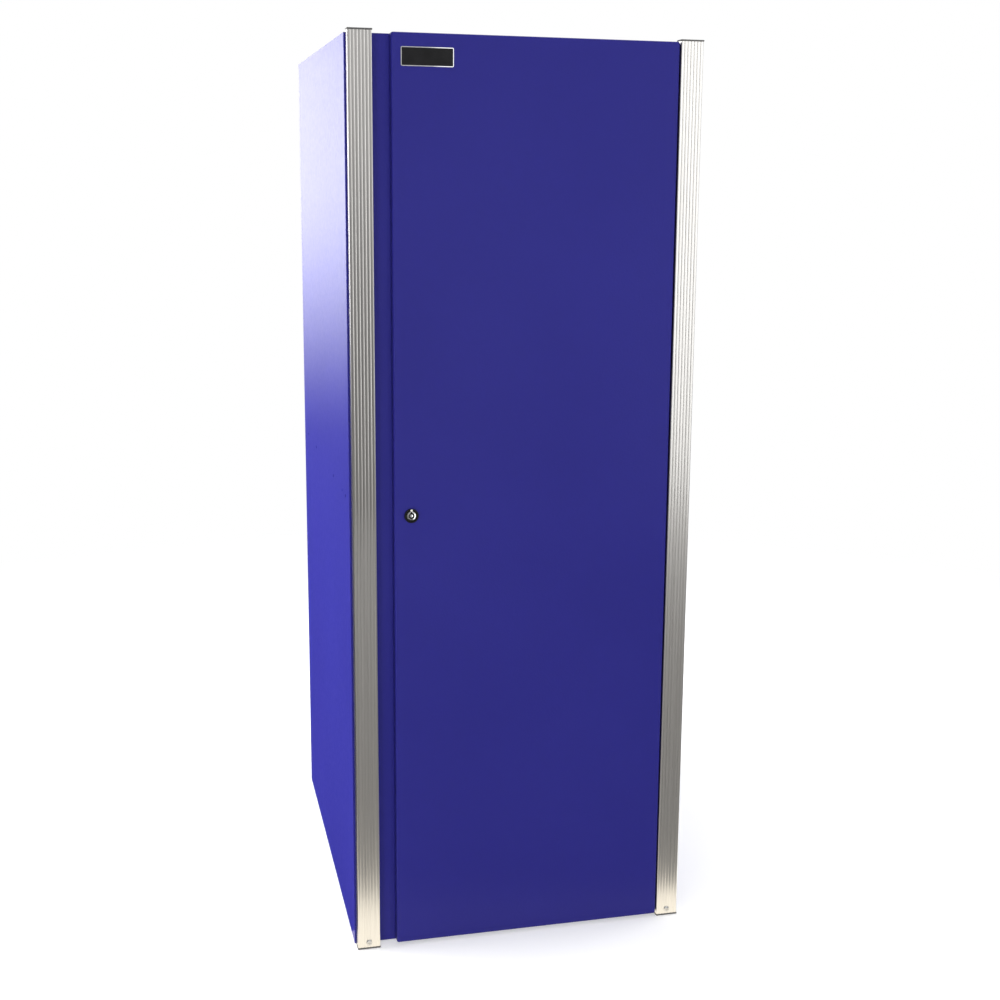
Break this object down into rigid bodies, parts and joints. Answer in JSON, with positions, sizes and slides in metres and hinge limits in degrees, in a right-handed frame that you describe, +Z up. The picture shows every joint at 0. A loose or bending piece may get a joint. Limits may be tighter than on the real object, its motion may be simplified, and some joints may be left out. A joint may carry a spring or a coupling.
{
  "type": "tool chest side locker",
  "caption": "Tall painted steel locker that bolts to the side of a tool chest, with one hinged door, a cam lock, ribbed corner trims and shelves inside.",
  "frame": {"origin": "on the floor line, in the middle of the width and of the depth", "axes": "+Z up, front of the door towards -Y, hinge on the +X side"},
  "size_m": [0.475, 0.627, 1.245],
  "materials": {
    "blue_paint": "satin powder coat",
    "trim_aluminium": "anodised, ribbed",
    "cap_plastic": "moulded",
    "bumper_rubber": "matte",
    "bushing_nylon": "natural nylon",
    "zinc_steel": "zinc plated",
    "bright_chrome": "polished",
    "lock_black": "gloss black",
    "badge_black": "gloss, blank"
  },
  "bodies": {
    "cabinet": {"back_panel": "blue_paint", "bottom_panel": "blue_paint", "corner_trim_left": "trim_aluminium", "corner_trim_right": "trim_aluminium", "door_bumper_bottom": "bumper_rubber", "door_bumper_top": "bumper_rubber", "frame_rail_bottom": "blue_paint", "frame_rail_top": "blue_paint", "frame_stile_left": "blue_paint", "frame_stile_right": "blue_paint", "pivot_bracket_bottom": "zinc_steel", "pivot_bracket_top": "zinc_steel", "pivot_pin_bottom": "zinc_steel", "pivot_pin_top": "zinc_steel", "shelf_clip_lower_left_front": "zinc_steel", "shelf_clip_lower_left_rear": "zinc_steel", "shelf_clip_lower_right_front": "zinc_steel", "shelf_clip_lower_right_rear": "zinc_steel", "shelf_clip_upper_left_front": "zinc_steel", "shelf_clip_upper_left_rear": "zinc_steel", "shelf_clip_upper_right_front": "zinc_steel", "shelf_clip_upper_right_rear": "zinc_steel", "shelf_lower": "blue_paint", "shelf_standard_left_front": "zinc_steel", "shelf_standard_left_rear": "zinc_steel", "shelf_standard_right_front": "zinc_steel", "shelf_standard_right_rear": "zinc_steel", "shelf_upper": "blue_paint", "side_panel_left": "blue_paint", "side_panel_right": "blue_paint", "top_panel": "blue_paint", "trim_cap_left_bottom": "cap_plastic", "trim_cap_left_top": "cap_plastic", "trim_cap_right_bottom": "cap_plastic", "trim_cap_right_top": "cap_plastic", "trim_screw_left": "zinc_steel", "trim_screw_right": "zinc_steel"},
    "door": {"door_panel": "blue_paint", "door_stiffener": "blue_paint", "badge_bezel": "bright_chrome", "badge_plate": "badge_black", "pivot_plate_bottom": "zinc_steel", "pivot_plate_top": "zinc_steel", "pivot_bushing_bottom": "bushing_nylon", "pivot_bushing_top": "bushing_nylon", "lock_body": "lock_black", "lock_nut": "zinc_steel"},
    "lock": {"lock_plug": "bright_chrome", "lock_cam": "zinc_steel", "lock_cam_screw": "zinc_steel"}
  },
  "joints": [
    {"name": "door_hinge", "type": "hinge", "parent": "cabinet", "child": "door", "pos_m": [0.1977, -0.3057, 0], "axis": [0, 0, 1], "range_deg": [0, 105]},
    {"name": "lock_turn", "type": "hinge", "parent": "door", "child": "lock", "pos_m": [-0.1573, -0.3105, 0.62], "axis": [0, 1, 0], "range_deg": [0, 90]}
  ]
}
